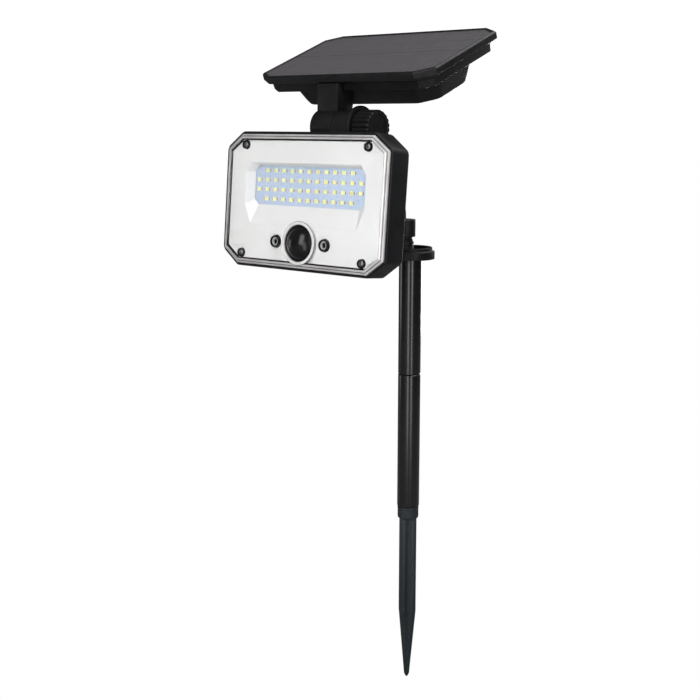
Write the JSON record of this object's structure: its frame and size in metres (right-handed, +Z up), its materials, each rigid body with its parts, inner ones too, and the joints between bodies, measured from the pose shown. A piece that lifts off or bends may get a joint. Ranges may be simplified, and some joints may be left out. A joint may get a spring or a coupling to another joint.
{
  "type": "solar flood light",
  "caption": "Stake-mounted outdoor solar flood light: an octagonal LED lamp head with a motion sensor dome under a tilting solar panel, on a swivelling bent arm over a tube and ground spike.",
  "frame": {"origin": "on the tube's axis at soil level, where the spike's collar ends", "axes": "+Z up along the tube, -Y the way the lamp faces, +X to the right as the lamp is looked at from the front"},
  "size_m": [0.162, 0.1531, 0.5208],
  "materials": {
    "black_abs": "satin, lightly grained moulding",
    "gloss_tube": "smooth gloss",
    "spike_plastic": "matt moulding",
    "rubber": "matt",
    "clear_lens": "clear polycarbonate",
    "white_reflector": "glossy white",
    "led_board": "lacquered white-blue board with yellow chips",
    "circuit_board": "green lacquer",
    "dome_black": "high gloss",
    "sensor_resin": "smoked resin",
    "solar_cells": "dark cells under a clear face",
    "cell_sleeve": "shrink sleeve",
    "brass": "turned",
    "zinc_steel": "zinc plated"
  },
  "bodies": {
    "stake": {"ground_spike": "spike_plastic", "lower_tube": "gloss_tube", "upper_tube": "gloss_tube", "base_flange": "black_abs", "swivel_screw": "zinc_steel"},
    "swivel": {"lamp_arm": "black_abs", "swivel_washer": "zinc_steel", "swivel_friction_ring": "rubber"},
    "lamp": {"rear_housing": "black_abs", "front_lens": "clear_lens", "lens_gasket": "rubber", "reflector": "white_reflector", "led_board": "led_board", "control_board": "circuit_board", "pir_dome": "dome_black", "pir_sensor": "zinc_steel", "light_sensor": "sensor_resin", "mode_indicator": "sensor_resin", "sensor_bezel_left": "black_abs", "sensor_bezel_right": "black_abs", "lens_screw_1": "zinc_steel", "lens_screw_2": "zinc_steel", "lens_screw_3": "zinc_steel", "lens_screw_4": "zinc_steel", "switch_board": "circuit_board", "tact_switch": "black_abs", "tilt_bolt": "zinc_steel"},
    "tilt_knob": {"tilt_knob": "black_abs", "tilt_knob_insert": "brass"},
    "button": {"mode_button": "rubber"},
    "panel": {"panel_frame": "black_abs", "solar_laminate": "solar_cells", "panel_tray": "black_abs", "battery_cover": "black_abs", "panel_arm": "black_abs", "panel_screw_1": "zinc_steel", "panel_screw_2": "zinc_steel", "panel_screw_3": "zinc_steel", "panel_screw_4": "zinc_steel", "cover_screw_1": "zinc_steel", "cover_screw_2": "zinc_steel", "cover_screw_3": "zinc_steel", "cover_screw_4": "zinc_steel", "arm_screw_1": "zinc_steel", "arm_screw_2": "zinc_steel", "battery_cell_1": "cell_sleeve", "battery_cell_2": "cell_sleeve", "contact_strip_left": "zinc_steel", "contact_strip_right": "zinc_steel", "charge_board": "circuit_board", "hinge_bolt": "zinc_steel", "hinge_spring_washer": "zinc_steel", "hinge_friction_ring": "rubber"},
    "panel_knob": {"panel_knob": "black_abs", "panel_knob_insert": "brass"}
  },
  "joints": [
    {"name": "swivel_pan", "type": "hinge", "parent": "stake", "child": "swivel", "pos_m": [0, -0.0069, 0.227], "axis": [0, 0, 1], "range_deg": [-175, 175]},
    {"name": "lamp_tilt", "type": "hinge", "parent": "swivel", "child": "lamp", "pos_m": [0, -0.08118, 0.26649], "axis": [1, 0, 0], "range_deg": [-30, 60]},
    {"name": "tilt_knob_turn", "type": "hinge", "parent": "lamp", "child": "tilt_knob", "pos_m": [0, -0.08118, 0.26649], "axis": [1, 0, 0], "continuous": true},
    {"name": "mode_press", "type": "slide", "parent": "lamp", "child": "button", "axis": [0, -0.9957, 0.0924], "range_m": [0, 0.001], "stiffness_N_per_m": 900, "springref_m": -0.0005},
    {"name": "panel_tilt", "type": "hinge", "parent": "lamp", "child": "panel", "pos_m": [0, -0.08225, 0.31017], "axis": [1, 0, 0], "range_deg": [-35, 65]},
    {"name": "panel_knob_turn", "type": "hinge", "parent": "panel", "child": "panel_knob", "pos_m": [0, -0.08225, 0.31017], "axis": [1, 0, 0], "continuous": true}
  ]
}
